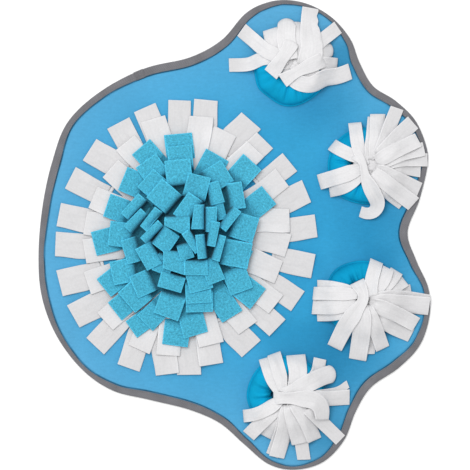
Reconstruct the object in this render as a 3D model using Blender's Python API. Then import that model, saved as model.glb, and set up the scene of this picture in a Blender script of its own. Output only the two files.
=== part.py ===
"""Paw-shaped snuffle mat: a bound flat cloth, a flower of fleece petals, four pouches with tassels on the toes."""
import math

import bmesh
import bpy
import numpy as np

# Sizes are in millimetres and degrees, and MM turns them into metres. +X runs towards the toes, +Y across them.
MM = 0.001
CLEARANCE = 0.3

# flat cloth, squeezed thin where the tape is folded over its edge
CLOTH_THICKNESS = 3.0
TAPE_WIDTH = 9.0
TAPE_THICKNESS = 1.2
TAPE_CORNER = 0.6
TAPE_HEIGHT = CLOTH_THICKNESS + CLEARANCE + TAPE_THICKNESS
SQUEEZE_RUN = 1.1
EDGE_STEPS = 2

# everything else is sewn on top of the cloth
BASE = CLOTH_THICKNESS + CLEARANCE

# Outer edge of the tape, clockwise from the top of the first toe: x, y.
OUTLINE = [
    (65, 300), (96.5, 293), (126, 276), (147.5, 249), (159, 219.5), (177, 190), (205, 171), (230.5, 146.5),
    (244.5, 114.5), (246.5, 89), (236, 44.5), (221, 3.5), (232, -32.5), (247.5, -68), (250, -102.5),
    (238.5, -141), (211.5, -171.5), (174.5, -194.5), (154, -225), (138.5, -261), (112, -288), (77, -300),
    (43, -293), (11, -267.5), (-18.5, -240), (-57, -221.5), (-108, -210), (-155.5, -198.5), (-193.5, -171.5),
    (-227, -129.5), (-246, -79.5), (-250, -26), (-244.5, 35.5), (-233, 93), (-213, 144), (-170.5, 183.5),
    (-114.5, 212), (-57, 226), (-16, 247.5), (13.5, 280), (36.5, 295),
]

# fleece petals, sewn in rings round the middle of the pad
FLOWER_CENTRE = (-61, -3)
FLEECE_THICKNESS = 2.0
BAND_WIDTH = 5.0
PETAL_STEPS = 5
PETAL_DROOP = 0.12

# Shares of the angle between two petals: the least that their roots keep, a root's width, a petal's most.
ROOT_PITCH = 0.8
ROOT_SHARE = 0.7
PETAL_SHARE = 0.92

# Each petal: bearing of its tip round the flower, reach of the tip from the flower's centre, turn of the tip
# away from the bearing, width. A ring's band is sewn at root_radius, and its petals rise by rise.
PETAL_RINGS = [
    dict(
        name="petals_white_outer", colour="white", root_radius=116, rise=0.3, petals=[
            (93, 175, -3, 29), (82, 177, 4, 31), (61, 170, -13, 33), (51, 159, -6, 29), (36, 163, 2, 29),
            (21, 164, 4, 31), (5, 166, 3, 30), (347, 166, 1, 31), (330, 164, -3, 31), (315, 164, 2, 30),
            (300, 165, 11, 33), (281, 166, 0, 30), (271, 176, 1, 31), (262, 177, 13, 30), (246, 183, 4, 30),
            (230, 182, -2, 31), (215, 177, -6, 33), (200, 173, -5, 34), (183, 168, -6, 32), (170, 166, -2, 31),
            (153, 167, -1, 30), (138, 167, 9, 33), (121, 170, -2, 32), (108, 174, 4, 30),
        ],
    ),
    dict(
        name="petals_white_inner", colour="white", root_radius=98, rise=3, petals=[
            (106, 157, 2, 32), (83, 155, 2, 31), (70, 144, -8, 31), (52, 143, -6, 30), (32, 144, 6, 29),
            (9, 133, -7, 30), (355, 130, -12, 31), (339, 126, -2, 31), (323, 143, 0, 30), (304, 140, 4, 30),
            (283, 141, 2, 32), (261, 153, 4, 30), (247, 156, 0, 30), (226, 150, -4, 30), (205, 140, -4, 30),
            (188, 132, 0, 31), (172, 131, 0, 31), (157, 130, 0, 30), (138, 131, 0, 31), (123, 144, 6, 30),
        ],
    ),
    dict(
        name="petals_teal_rim", colour="teal", root_radius=76, rise=11, petals=[
            (95, 133, 5, 35), (117, 127, 12, 34), (137, 113, 16, 29), (158, 112, 1, 33), (184, 120, 7, 33),
            (210, 126, 0, 28), (226, 133, -5, 31), (240, 135, -18, 28), (250, 125, -8, 30), (262, 141, 2, 33),
            (278, 126, 9, 30), (299, 119, 3, 32), (320, 122, 0, 30), (340, 106, 4, 31), (6, 108, 4, 31),
            (26, 118, 3, 31), (50, 128, -1, 31), (70, 115, -6, 32),
        ],
    ),
    dict(
        name="petals_teal_second", colour="teal", root_radius=58, rise=19, petals=[
            (95, 116, 2, 31), (118, 111, 4, 32), (129, 94, 8, 29), (149, 87, -6, 31), (177, 100, -5, 33),
            (195, 86, -3, 29), (208, 110, -8, 28), (227, 114, -11, 33), (223, 95, -18, 30), (255, 106, -3, 34),
            (280, 97, -9, 34), (315, 98, -12, 32), (343, 85, 4, 34), (5, 89, -16, 33), (37, 91, -19, 32),
            (58, 100, -25, 31),
        ],
    ),
    dict(
        name="petals_teal_third", colour="teal", root_radius=39, rise=27, petals=[
            (97, 99, -3, 34), (124, 76, 13, 32), (161, 76, -30, 31), (206, 66, 0, 31), (251, 72, 12, 32),
            (280, 86, -4, 34), (301, 69, -16, 24), (18, 63, -40, 30), (53, 74, -25, 27), (78, 81, -15, 33),
        ],
    ),
    dict(
        name="petals_teal_centre", colour="teal", root_radius=22, rise=33, petals=[
            (98, 50, 20, 28), (146, 60, -8, 29), (180, 60, 15, 24), (246, 51, 3, 29), (286, 72, -7, 31),
            (335, 50, 12, 28), (4, 46, -10, 28), (42, 50, -20, 25),
        ],
    ),
    dict(
        name="petals_teal_heart", colour="teal", root_radius=8, rise=38, petals=[
            (60, 32, 20, 26), (132, 30, 20, 24), (204, 38, 10, 28), (276, 44, -5, 28), (348, 32, -10, 26),
        ],
    ),
]

# gathered pouches, one on each toe: a dome that is sewn down at its rim and open at its pleated mouth
TOE_CENTRES = [(73.5, 217), (168, 88), (164, -82), (66, -203.5)]
POUCH_THICKNESS = 1.6
POUCH_STEPS = 40
POUCH_PLEATS = 10
# Outer side of a pouch, from rim to mouth: radius, height over the cloth, depth of the pleats.
POUCH_SECTION = [
    (49, 0, 0), (48.7, 6, 0), (46.2, 13, 0.4), (41, 18.8, 0.8), (33.5, 22, 1.3), (27, 21, 1.9), (22.5, 17, 2.2),
]

# tassels of fleece strips, tied to a head that stands in the mouth of the pouch
STRIP_THICKNESS = 1.8
STRIP_STEPS = 6
STRIP_FALL_START = 0.25
UPRIGHT_REACH = 30.0
HEAD_SIDES = 16
HEAD_PITCH = 360 / HEAD_SIDES
HEAD_RADIUS = 9.0
HEAD_FOOT_RADIUS = 6.5
HEAD_TIERS = 3
TIER_HEIGHT = 2.6
TIER_BASE = 27.5
HEAD_FLARE = 6.0
HEAD_TOP = 38.0
HEAD_TOP_RADIUS = 5.4

# Each strip, the lowest first: bearing of its tip round the toe, reach of the tip, turn of the tip, width.
TASSELS = [
    [
        (180, 80, 0, 17), (145, 76, -15, 19), (39, 74, 0, 17), (352, 76, 3, 18), (73, 76, 12, 22),
        (122, 53, -22, 18), (20, 57, -10, 17), (1, 57, -11, 15), (325, 49, 20, 22), (94, 59, 1, 23),
        (287, 40, 13, 20), (241, 32, -11, 17), (204, 34, 26, 18),
    ],
    [
        (83, 63, 7, 17), (216, 58, -11, 18), (29, 73, 1, 17), (312, 70, -2, 17), (148, 52, -10, 17),
        (7, 79, -4, 18), (48, 83, 12, 17), (264, 58, -50, 19), (354, 69, 3, 14), (106, 58, -3, 17),
        (62, 84, 5, 17), (322, 77, 3, 20), (39, 83, 9, 15), (19, 78, 6, 15), (199, 63, -4, 20),
        (337, 76, 15, 19), (77, 68, 13, 20),
    ],
    [
        (161, 63, 7, 15), (275, 72, 25, 16), (54, 50, 11, 14), (201, 64, -1, 18), (350, 84, 7, 16),
        (240, 73, -15, 18), (322, 78, 18, 17), (7, 64, 23, 15), (263, 78, 7, 19), (42, 56, 23, 16),
        (189, 65, -4, 17), (333, 74, 5, 19), (358, 84, 7, 17), (172, 64, 8, 18), (292, 68, -9, 18),
        (21, 58, 14, 18), (71, 51, 11, 18), (111, 30, -11, 18),
    ],
    [
        (254, 82, -2, 15), (47, 64, 43, 18), (340, 61, -5, 20), (226, 72, 5, 17), (118, 55, 2, 17),
        (286, 87, -1, 17), (0, 80, 0, 20), (209, 60, -4, 18), (263, 81, 5, 17), (321, 90, -3, 17),
        (245, 61, -15, 17), (77, 52, 11, 25), (302, 69, 8, 20), (104, 55, -4, 18), (21, 63, -6, 24),
        (3, 46, 2, 14),
    ],
]

# how strands are laid on each other: the pile's grid, the share of a strand that its backing holds, the most
# that a slope thickens a strand upwards, the passes that lift it clear, the points that test it along and across
CELL = 1.0
GRID_REACH = 310.0
HELD_SHARE = 0.12
STEEPEST = 2.5
SETTLE_PASSES = 6
FINE_STEPS = 48
ACROSS = np.linspace(-1, 1, 9)
CURVE_PULL = 0.4

COLOURS = {
    "blue": (0.10, 0.38, 0.68), "grey": (0.19, 0.19, 0.20), "white": (0.80, 0.80, 0.81),
    "teal": (0.08, 0.46, 0.62), "cyan": (0.01, 0.34, 0.61),
}


def clear_scene():
    for old in list(bpy.data.objects):
        bpy.data.objects.remove(old, do_unlink=True)


def fabric(colour):
    """The plain woven or fleece finish of one colour, shared by the pieces that have it."""
    finish = bpy.data.materials.get(colour)
    if finish is None:
        finish = bpy.data.materials.new(colour)
        finish.use_nodes = True
        shader = finish.node_tree.nodes["Principled BSDF"]
        shader.inputs["Base Color"].default_value = (*COLOURS[colour], 1)
        shader.inputs["Roughness"].default_value = 0.9
        shader.inputs["Metallic"].default_value = 0
    return finish


def add_piece(name, bm, colour):
    """Turn a finished bmesh, drawn in millimetres, into a named object in metres."""
    bmesh.ops.scale(bm, vec=(MM, MM, MM), verts=bm.verts)
    bmesh.ops.recalc_face_normals(bm, faces=bm.faces)
    mesh = bpy.data.meshes.new(name)
    bm.to_mesh(mesh)
    bm.free()
    mesh.materials.append(fabric(colour))
    piece = bpy.data.objects.new(name, mesh)
    bpy.context.scene.collection.objects.link(piece)


def unit(angle):
    return np.array((math.cos(math.radians(angle)), math.sin(math.radians(angle))))


def outline_points():
    """Points and inward normals along the smooth closed curve through OUTLINE."""
    knots = np.array(OUTLINE, dtype=float)
    before = np.roll(knots, 1, axis=0)
    after = np.roll(knots, -1, axis=0)
    beyond = np.roll(knots, -2, axis=0)
    points = []
    tangents = []
    for i in range(len(knots)):
        leave = (after[i] - before[i]) / 2
        arrive = (beyond[i] - knots[i]) / 2
        for step in range(EDGE_STEPS):
            t = step / EDGE_STEPS
            points.append((2 * t ** 3 - 3 * t ** 2 + 1) * knots[i] + (t ** 3 - 2 * t ** 2 + t) * leave
                          + (3 * t ** 2 - 2 * t ** 3) * after[i] + (t ** 3 - t ** 2) * arrive)
            tangents.append((6 * t ** 2 - 6 * t) * (knots[i] - after[i]) + (3 * t ** 2 - 4 * t + 1) * leave
                            + (3 * t ** 2 - 2 * t) * arrive)
    tangents = np.array(tangents)
    inward = np.column_stack((tangents[:, 1], -tangents[:, 0]))
    return np.array(points), inward / np.linalg.norm(inward, axis=1)[:, None]


def add_loop(bm, points, inward, inset, height):
    loop = points + inward * inset
    return [bm.verts.new((x, y, height)) for x, y in loop]


def join_loops(bm, first, second):
    for i in range(len(first)):
        j = (i + 1) % len(first)
        bm.faces.new((first[i], first[j], second[j], second[i]))


def build_cloth(points, inward):
    """Flat cloth whose rim stands off the floor, inside the tape."""
    grip = TAPE_THICKNESS + CLEARANCE
    thin_inset = TAPE_WIDTH + 2 * CLEARANCE
    bm = bmesh.new()
    loops = [
        add_loop(bm, points, inward, thin_inset + SQUEEZE_RUN, 0),
        add_loop(bm, points, inward, thin_inset, grip),
        add_loop(bm, points, inward, grip, grip),
        add_loop(bm, points, inward, grip, CLOTH_THICKNESS),
    ]
    for first, second in zip(loops, loops[1:]):
        join_loops(bm, first, second)
    bm.faces.new(reversed(loops[0]))
    bm.faces.new(loops[-1])
    add_piece("mat_cloth", bm, "blue")


def build_tape(points, inward):
    """U-shaped tape: a flap under the cloth, a fold round its edge and a flap above it."""
    inner = TAPE_HEIGHT - TAPE_THICKNESS
    section = [
        (TAPE_WIDTH, 0), (TAPE_CORNER, 0), (0, TAPE_CORNER), (0, TAPE_HEIGHT - TAPE_CORNER),
        (TAPE_CORNER, TAPE_HEIGHT), (TAPE_WIDTH, TAPE_HEIGHT), (TAPE_WIDTH, inner),
        (TAPE_THICKNESS, inner), (TAPE_THICKNESS, TAPE_THICKNESS), (TAPE_WIDTH, TAPE_THICKNESS),
    ]
    bm = bmesh.new()
    loops = [add_loop(bm, points, inward, inset, height) for inset, height in section]
    for first, second in zip(loops, loops[1:] + loops[:1]):
        join_loops(bm, first, second)
    add_piece("edge_tape", bm, "grey")


class Pile:
    """Heights of all that lies on the cloth so far, so that the next strand can be laid on top."""

    def __init__(self):
        side = int(2 * GRID_REACH / CELL) + 1
        self.height = np.full((side, side), CLOTH_THICKNESS)

    def cells(self, xy):
        index = np.rint((xy + GRID_REACH) / CELL).astype(int)
        return np.clip(index, 1, len(self.height) - 2)

    def cover(self, xy, top):
        index = self.cells(xy)
        np.maximum.at(self.height, (index[..., 0], index[..., 1]), top)

    def under(self, xy):
        """Greatest height within one cell of each point."""
        index = self.cells(xy)
        around = [
            self.height[index[..., 0] + i, index[..., 1] + j] for i in (-1, 0, 1) for j in (-1, 0, 1)
        ]
        return np.max(around, axis=0)


class Strand:
    """One petal or strip: a flat ribbon from its root on a backing to its free tip."""

    def __init__(self, root, tip, leave, arrive, widths, heights, thickness):
        self.t = np.linspace(0, 1, len(heights))
        self.heights = heights
        self.thickness = thickness
        self.half = widths / 2
        pull = CURVE_PULL * np.linalg.norm(tip - root)
        corners = (root, root + leave * pull, tip - arrive * pull, tip)
        t = self.t[:, None]
        self.points = ((1 - t) ** 3 * corners[0] + 3 * (1 - t) ** 2 * t * corners[1]
                       + 3 * (1 - t) * t ** 2 * corners[2] + t ** 3 * corners[3])
        along = (3 * (1 - t) ** 2 * (corners[1] - corners[0]) + 6 * (1 - t) * t * (corners[2] - corners[1])
                 + 3 * t ** 2 * (corners[3] - corners[2]))
        sides = np.column_stack((-along[:, 1], along[:, 0]))
        self.sides = sides / np.linalg.norm(sides, axis=1)[:, None]

    def narrow(self, centre, share):
        """Keep the ribbon within a share, in radians, of the circle round the centre."""
        self.half = np.minimum(self.half, share * np.linalg.norm(self.points - centre, axis=1) / 2)

    def footprint(self):
        """Points all over the ribbon, seen from above, with the place of each row along it."""
        fine = np.linspace(0, 1, FINE_STEPS)
        centre = np.column_stack([np.interp(fine, self.t, self.points[:, k]) for k in (0, 1)])
        side = np.column_stack([np.interp(fine, self.t, self.sides[:, k] * self.half) for k in (0, 1)])
        return fine, centre[:, None, :] + side[:, None, :] * ACROSS[None, :, None]

    def half_depth(self, fine):
        """Half of the ribbon's thickness measured straight up, which grows with its slope."""
        run = np.linalg.norm(np.diff(self.points, axis=0), axis=1)
        slope = np.diff(self.heights) / run
        depth = np.minimum(np.sqrt(1 + slope ** 2), STEEPEST) * self.thickness / 2
        place = np.clip((fine * len(run)).astype(int), 0, len(run) - 1)
        return depth[place]

    def settle(self, pile):
        """Raise the ribbon wherever it would cut into the pile, then add it to the pile."""
        fine, xy = self.footprint()
        last = len(self.t) - 1
        before = np.clip((fine * last).astype(int), 0, last - 1)
        for _ in range(SETTLE_PASSES):
            centre = np.interp(fine, self.t, self.heights)
            need = pile.under(xy).max(axis=1) + CLEARANCE + self.half_depth(fine)
            short = np.where(fine > HELD_SHARE, np.maximum(need - centre, 0), 0)
            lift = np.zeros(len(self.t))
            np.maximum.at(lift, before + 1, short)
            np.maximum.at(lift, before, short)
            lift[0] = 0
            self.heights = self.heights + lift
        top = np.interp(fine, self.t, self.heights) + self.half_depth(fine)
        pile.cover(xy, np.broadcast_to(top[:, None], xy.shape[:2]))

    def grow(self, bm, root_corners):
        """Draw the ribbon out of a four-sided face of its backing."""
        places = np.column_stack((self.points, self.heights))
        along = np.gradient(places, axis=0)
        along /= np.linalg.norm(along, axis=1)[:, None]
        previous = root_corners
        for place, ahead, side, half in list(zip(places, along, self.sides, self.half))[1:]:
            across = np.array((*side, 0.0))
            up = np.cross(ahead, across) * self.thickness / 2
            left = place + across * half
            right = place - across * half
            corners = [bm.verts.new(p) for p in (right - up, left - up, left + up, right + up)]
            join_loops(bm, previous, corners)
            previous = corners
        bm.faces.new(previous)


def spread(angles, least):
    """Angles round a circle, pushed apart until neighbours are at least `least` degrees from each other."""
    order = np.argsort(angles)
    turned = np.array(angles, dtype=float)[order]
    for _ in range(300):
        gap = np.diff(np.append(turned, turned[0] + 360))
        push = np.maximum(least - gap, 0) / 2
        turned += np.roll(push, 1) - push
    placed = np.empty(len(angles))
    placed[order] = turned
    return placed


def ring_strands(ring, pile):
    """Petals of one ring, every other one laid first, each with the angle of its root."""
    centre = np.array(FLOWER_CENTRE, dtype=float)
    radius = ring["root_radius"]
    pitch = 360 / len(ring["petals"])
    root_width = ROOT_SHARE * math.radians(pitch) * radius
    roots = []
    for bearing, reach, turn, width in ring["petals"]:
        back = unit(bearing) * reach - unit(bearing + turn) * (reach - radius)
        roots.append(math.degrees(math.atan2(back[1], back[0])) % 360)
    sewn = list(zip(spread(roots, ROOT_PITCH * pitch), ring["petals"]))
    t = np.linspace(0, 1, PETAL_STEPS + 1)
    heights = BASE + FLEECE_THICKNESS / 2 + ring["rise"] * (1 - (1 - t) ** 2 - PETAL_DROOP * t ** 3)
    strands = []
    for angle, (bearing, reach, turn, width) in sewn[::2] + sewn[1::2]:
        strand = Strand(centre + unit(angle) * radius, centre + unit(bearing) * reach, unit(angle),
                        unit(bearing + turn), np.interp(t, (0, 0.5), (root_width, width)), heights,
                        FLEECE_THICKNESS)
        strand.narrow(centre, PETAL_SHARE * math.radians(pitch))
        strand.settle(pile)
        strands.append((angle, strand))
    return sorted(strands, key=lambda pair: pair[0])


def build_ring(ring, pile):
    """One sewn band with its petals."""
    outer = ring["root_radius"]
    inner = outer - BAND_WIDTH
    low = BASE
    high = BASE + FLEECE_THICKNESS
    strands = ring_strands(ring, pile)
    for radius in np.arange(inner, outer + CELL, CELL):
        pile.cover(np.array([FLOWER_CENTRE + unit(angle) * radius for angle in range(360)]), high)
    half_angle = ROOT_SHARE * 180 / len(strands)
    stations = []
    for angle, strand in strands:
        stations += [(angle - half_angle, strand), (angle + half_angle, None)]
    bm = bmesh.new()
    columns = []
    for angle, strand in stations:
        corners = [(inner, low), (inner, high), (outer, low), (outer, high)]
        columns.append([bm.verts.new((*(FLOWER_CENTRE + unit(angle) * r), z)) for r, z in corners])
    for here, ahead, (angle, strand) in zip(columns, columns[1:] + columns[:1], stations):
        bm.faces.new((here[0], ahead[0], ahead[1], here[1]))
        bm.faces.new((here[0], here[2], ahead[2], ahead[0]))
        bm.faces.new((here[1], ahead[1], ahead[3], here[3]))
        if strand is None:
            bm.faces.new((here[2], here[3], ahead[3], ahead[2]))
        else:
            strand.grow(bm, (here[2], ahead[2], ahead[3], here[3]))
    add_piece(ring["name"], bm, ring["colour"])


def pouch_loops(bm, centre, offset):
    """Loops of points round a pouch, from rim to mouth, offset inwards from its outer side."""
    section = np.array(POUCH_SECTION)
    along = np.gradient(section[:, :2], axis=0)
    along /= np.linalg.norm(along, axis=1)[:, None]
    loops = []
    for (radius, height, depth), (run, rise) in zip(section, along):
        on_cloth = height == 0
        loop = []
        for step in range(POUCH_STEPS):
            angle = 360 * step / POUCH_STEPS
            pleat = depth * math.cos(math.radians(angle * POUCH_PLEATS))
            x, y = centre + unit(angle) * (radius - offset * rise + pleat / 2)
            z = BASE if on_cloth else BASE + height + offset * run + pleat
            loop.append(bm.verts.new((x, y, z)))
        loops.append(loop)
    return loops


def build_pouch(number, centre):
    """Hollow gathered dome: sewn down at its rim, open under it and at its mouth."""
    bm = bmesh.new()
    loops = pouch_loops(bm, centre, 0) + pouch_loops(bm, centre, POUCH_THICKNESS)[::-1]
    for first, second in zip(loops, loops[1:] + loops[:1]):
        join_loops(bm, first, second)
    add_piece(f"pouch_{number}", bm, "cyan")


def cover_tape(points, inward, pile):
    """Enter the tape's upper flap in the pile."""
    for inset in np.arange(0, TAPE_WIDTH + CELL, CELL):
        loop = points + inward * inset
        for share in np.arange(0, 1, 0.05):
            pile.cover(loop + (np.roll(loop, -1, axis=0) - loop) * share, TAPE_HEIGHT)


def cover_pouch(centre, pile):
    """Enter a pouch's dome in the pile, at the height of its pleats."""
    section = np.array(POUCH_SECTION)
    places = np.linspace(0, len(section) - 1, 60)
    radii = np.interp(places, range(len(section)), section[:, 0])
    tops = BASE + np.interp(places, range(len(section)), section[:, 1] + section[:, 2]) + CLEARANCE
    for angle in range(0, 360, 2):
        pile.cover(centre + unit(angle) * radii[:, None], tops)


def tassel_strands(rows, centre, pile):
    """Strips of one tassel, settled on the pile, keyed by the tier and side of the head they grow from."""
    t = np.linspace(0, 1, STRIP_STEPS + 1)
    fall = np.clip((t - STRIP_FALL_START) / (1 - STRIP_FALL_START), 0, 1)
    root_width = 2 * HEAD_RADIUS * math.sin(math.radians(HEAD_PITCH / 2))
    root_radius = HEAD_RADIUS * math.cos(math.radians(HEAD_PITCH / 2))
    end = BASE + STRIP_THICKNESS / 2
    strands = {}
    for index, (bearing, reach, turn, width) in enumerate(rows):
        tier = index * HEAD_TIERS // len(rows)
        nearest = sorted(range(HEAD_SIDES), key=lambda s: abs((s * HEAD_PITCH - bearing + 180) % 360 - 180))
        side = next(s for s in nearest if (tier, s) not in strands)
        start = TIER_BASE + (tier + 0.5) * TIER_HEIGHT
        drop = (end - start) * min(max(reach / UPRIGHT_REACH - 1, 0), 1)
        strand = Strand(centre + unit(side * HEAD_PITCH) * root_radius, centre + unit(bearing) * reach,
                        unit(side * HEAD_PITCH), unit(bearing + turn),
                        root_width + (width - root_width) * np.clip(2 * t, 0, 1) ** 2,
                        start + drop * fall ** 2 * (3 - 2 * fall), STRIP_THICKNESS)
        strand.settle(pile)
        strands[tier, side] = strand
    return strands


def build_tassel(number, centre, pile):
    """Head of wound fleece on a foot, with the strips growing from its sides."""
    strands = tassel_strands(TASSELS[number - 1], np.array(centre, dtype=float), pile)
    levels = [(HEAD_FOOT_RADIUS, BASE), (HEAD_FOOT_RADIUS, TIER_BASE - HEAD_FLARE)]
    foot_levels = len(levels)
    levels += [(HEAD_RADIUS, TIER_BASE + tier * TIER_HEIGHT) for tier in range(HEAD_TIERS + 1)]
    levels += [(HEAD_TOP_RADIUS, HEAD_TOP)]
    bm = bmesh.new()
    loops = []
    for radius, height in levels:
        corners = [centre + unit((side - 0.5) * HEAD_PITCH) * radius for side in range(HEAD_SIDES)]
        loops.append([bm.verts.new((*corner, height)) for corner in corners])
    for level, (lower, upper) in enumerate(zip(loops, loops[1:])):
        for side in range(HEAD_SIDES):
            ahead = (side + 1) % HEAD_SIDES
            corners = (lower[side], lower[ahead], upper[ahead], upper[side])
            strand = strands.get((level - foot_levels, side))
            if strand is None:
                bm.faces.new(corners)
            else:
                strand.grow(bm, corners)
    bm.faces.new(reversed(loops[0]))
    bm.faces.new(loops[-1])
    add_piece(f"tassel_{number}", bm, "white")


def main():
    clear_scene()
    points, inward = outline_points()
    build_cloth(points, inward)
    build_tape(points, inward)
    pile = Pile()
    cover_tape(points, inward, pile)
    for ring in PETAL_RINGS:
        build_ring(ring, pile)
    for number, centre in enumerate(TOE_CENTRES, start=1):
        build_pouch(number, centre)
        cover_pouch(centre, pile)
        build_tassel(number, centre, pile)


main()
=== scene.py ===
import math
from contextlib import contextmanager

import bpy
import numpy as np
from mathutils import Matrix


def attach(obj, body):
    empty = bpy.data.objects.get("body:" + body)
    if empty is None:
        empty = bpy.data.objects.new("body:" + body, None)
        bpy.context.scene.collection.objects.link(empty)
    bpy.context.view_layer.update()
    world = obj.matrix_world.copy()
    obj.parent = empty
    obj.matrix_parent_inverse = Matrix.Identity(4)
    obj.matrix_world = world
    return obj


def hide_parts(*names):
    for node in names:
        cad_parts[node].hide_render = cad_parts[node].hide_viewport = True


# A paw-shaped snuffle mat, dressed over its CAD solids. Tables and sizes are in millimetres and degrees,
# +X towards the toes, and metre turns them into Blender's metres when a mesh is made.
metre = 0.001
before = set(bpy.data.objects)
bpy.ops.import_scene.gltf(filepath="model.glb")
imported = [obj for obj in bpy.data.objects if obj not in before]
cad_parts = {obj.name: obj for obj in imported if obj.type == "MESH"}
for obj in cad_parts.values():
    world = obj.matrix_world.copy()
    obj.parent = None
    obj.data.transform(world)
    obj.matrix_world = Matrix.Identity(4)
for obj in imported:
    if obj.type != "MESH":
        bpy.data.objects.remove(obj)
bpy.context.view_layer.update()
print("stage: frame loaded,", len(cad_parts), "nodes")

# Outer edge of the tape, clockwise from the top of the first toe: x, y, how much tape shows there, and how far
# further in the edge was found to lie when it was looked at again.
matOutline = [
    (65, 300, 5.5, 0), (96.5, 293, 3.8, -0.6), (126, 276, 4, 0), (147.5, 249, 7, -0.8), (159, 219.5, 9.3, -0.8),
    (177, 190, 9.2, 0), (205, 171, 8.8, -0.5), (230.5, 146.5, 7, 0), (244.5, 114.5, 6, 0), (246.5, 89, 6.4, 0),
    (236, 44.5, 9.2, 0), (221, 3.5, 10.1, 0), (232, -32.5, 8.3, 0), (247.5, -68, 6, 0), (250, -102.5, 6.6, 0.8),
    (238.5, -141, 8.2, 1.7), (211.5, -171.5, 10.1, 2.4), (174.5, -194.5, 9.8, 0), (154, -225, 9, -1.0),
    (138.5, -261, 8.8, -1.8), (112, -288, 6, -2.3), (77, -300, 3.8, 0), (43, -293, 5.2, 0.4), (11, -267.5, 7, 0.9),
    (-18.5, -240, 8.3, -0.6), (-57, -221.5, 9.4, -2.0), (-108, -210, 9.6, -0.8), (-155.5, -198.5, 8, -0.4),
    (-193.5, -171.5, 5.2, -1.2), (-227, -129.5, 6.2, 0), (-246, -79.5, 7.8, 0), (-250, -26, 6.6, -0.3),
    (-244.5, 35.5, 8.8, -0.8), (-233, 93, 9.9, 0), (-213, 144, 7.6, 0), (-170.5, 183.5, 8.2, 0),
    (-114.5, 212, 10, -0.5), (-57, 226, 10.3, -0.6), (-16, 247.5, 10, -1.3), (13.5, 280, 9, -1.6),
    (36.5, 295, 7.4, 0),
]
clothTop = 3.0  # height of the cloth's upper side
sewnOn = 3.3  # height at which everything else starts


def inMetres(span):
    return [place * metre for place in span]


def unit(angle):
    return np.array((math.cos(math.radians(angle)), math.sin(math.radians(angle))))


def unitRows(directions):
    return directions / np.linalg.norm(directions, axis=1)[:, None]


def leftOf(ahead):
    return np.column_stack((-ahead[:, 1], ahead[:, 0]))


def ringPlaces(centre, reach, angles):
    turn = np.radians(angles)
    return np.column_stack((centre[0] + reach * np.cos(turn), centre[1] + reach * np.sin(turn)))


def atHeight(xy, height):
    # places on the mat with their heights as a third coordinate
    return np.concatenate((xy, np.broadcast_to(height, xy.shape[:-1])[..., None]), axis=-1)


def closeRound(grid, axis=1):
    # the grid with its first lane or row once more at the end
    return np.concatenate((grid, grid.take([0], axis)), axis)


def lengthAlong(points):
    # how far each point is from the first, along the line through them
    return np.concatenate(([0], np.cumsum(np.linalg.norm(np.diff(points, axis=0), axis=1))))


def placesAlong(points, lengths, places):
    return np.column_stack([np.interp(places, lengths, points[:, k]) for k in (0, 1)])


def ramp(x, start, end):
    # 0 up to the start, 1 from the end
    return np.clip((x - start) / (end - start), 0, 1)


def smoothStep(x, start, end):
    share = ramp(x, start, end)
    return share ** 2 * (3 - 2 * share)


def hump(away, half):
    # 1 in the middle, fading out on both sides
    return np.exp(-(away / half) ** 2)


def wander(count, seed, waves):
    # an uneven closed wave: a few sine waves of chosen numbers of turns, from -1 to 1
    chance = np.random.RandomState(seed)
    angle = np.linspace(0, 2 * math.pi, count, endpoint=False)
    total = sum(chance.uniform(0.5, 1) * np.sin(turns * angle + chance.uniform(0, 6.3)) for turns in waves)
    return total / np.abs(total).max()


def deselectAll():
    if bpy.context.object and bpy.context.object.mode != "OBJECT":
        bpy.ops.object.mode_set(mode="OBJECT")
    bpy.ops.object.select_all(action="DESELECT")


def makeActive(pieces):
    deselectAll()
    for piece in pieces:
        piece.select_set(True)
    bpy.context.view_layer.objects.active = pieces[0]


@contextmanager
def editMode(openEdges=False):
    # the active mesh in edit mode, selected all over or at its open edges alone
    bpy.ops.object.mode_set(mode="EDIT")
    bpy.ops.mesh.select_all(action="DESELECT" if openEdges else "SELECT")
    if openEdges:
        bpy.ops.mesh.select_non_manifold()
    yield
    bpy.ops.object.mode_set(mode="OBJECT")


def gridPiece(points, joined=False):
    # a grid of quads laid on rows of points, with places that coincide merged where asked
    rows, lanes = points.shape[:2]
    deselectAll()
    bpy.ops.mesh.primitive_grid_add(x_subdivisions=lanes - 1, y_subdivisions=rows - 1, size=1)
    piece = bpy.context.object
    piece.data.vertices.foreach_set("co", (points * metre).ravel())
    piece.data.update()
    if joined:
        with editMode():
            bpy.ops.mesh.remove_doubles(threshold=0.00001)
    return piece


def joinPieces(pieces, name):
    makeActive(pieces)
    bpy.ops.object.join()
    joined = bpy.context.object
    joined.name = name
    joined.data.name = name
    return joined


def applyModifier(piece, kind, **settings):
    makeActive([piece])
    modifier = piece.modifiers.new(kind.title(), kind)
    for key, value in settings.items():
        setattr(modifier, key, value)
    bpy.ops.object.modifier_apply(modifier=modifier.name)


def thicken(piece, thickness, even=True):
    # cloth gets its thickness and a soft rim
    applyModifier(piece, "SOLIDIFY", thickness=thickness * metre, offset=0, use_even_offset=even)
    applyModifier(piece, "SUBSURF", levels=1, render_levels=1)
    bpy.ops.object.shade_smooth()


def turnOutwards(piece):
    makeActive([piece])
    with editMode():
        bpy.ops.mesh.normals_make_consistent(inside=False)


def dress(piece, finish, nodes=()):
    # give a finished piece its material, hide the CAD nodes it replaces and attach it to its body
    piece.data.materials.clear()
    piece.data.materials.append(finish)
    if nodes:
        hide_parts(*nodes)
    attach(piece, "root")


# the photograph, in its pixels, and the camera, which looks straight down as in it
photo = dict(side=470, mmPerPixel=1.278, middle=(234.5, 234.75))
cameraView = dict(centre=(0.64, -0.32), lens=400, sensor=36, clipEnd=60)


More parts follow.
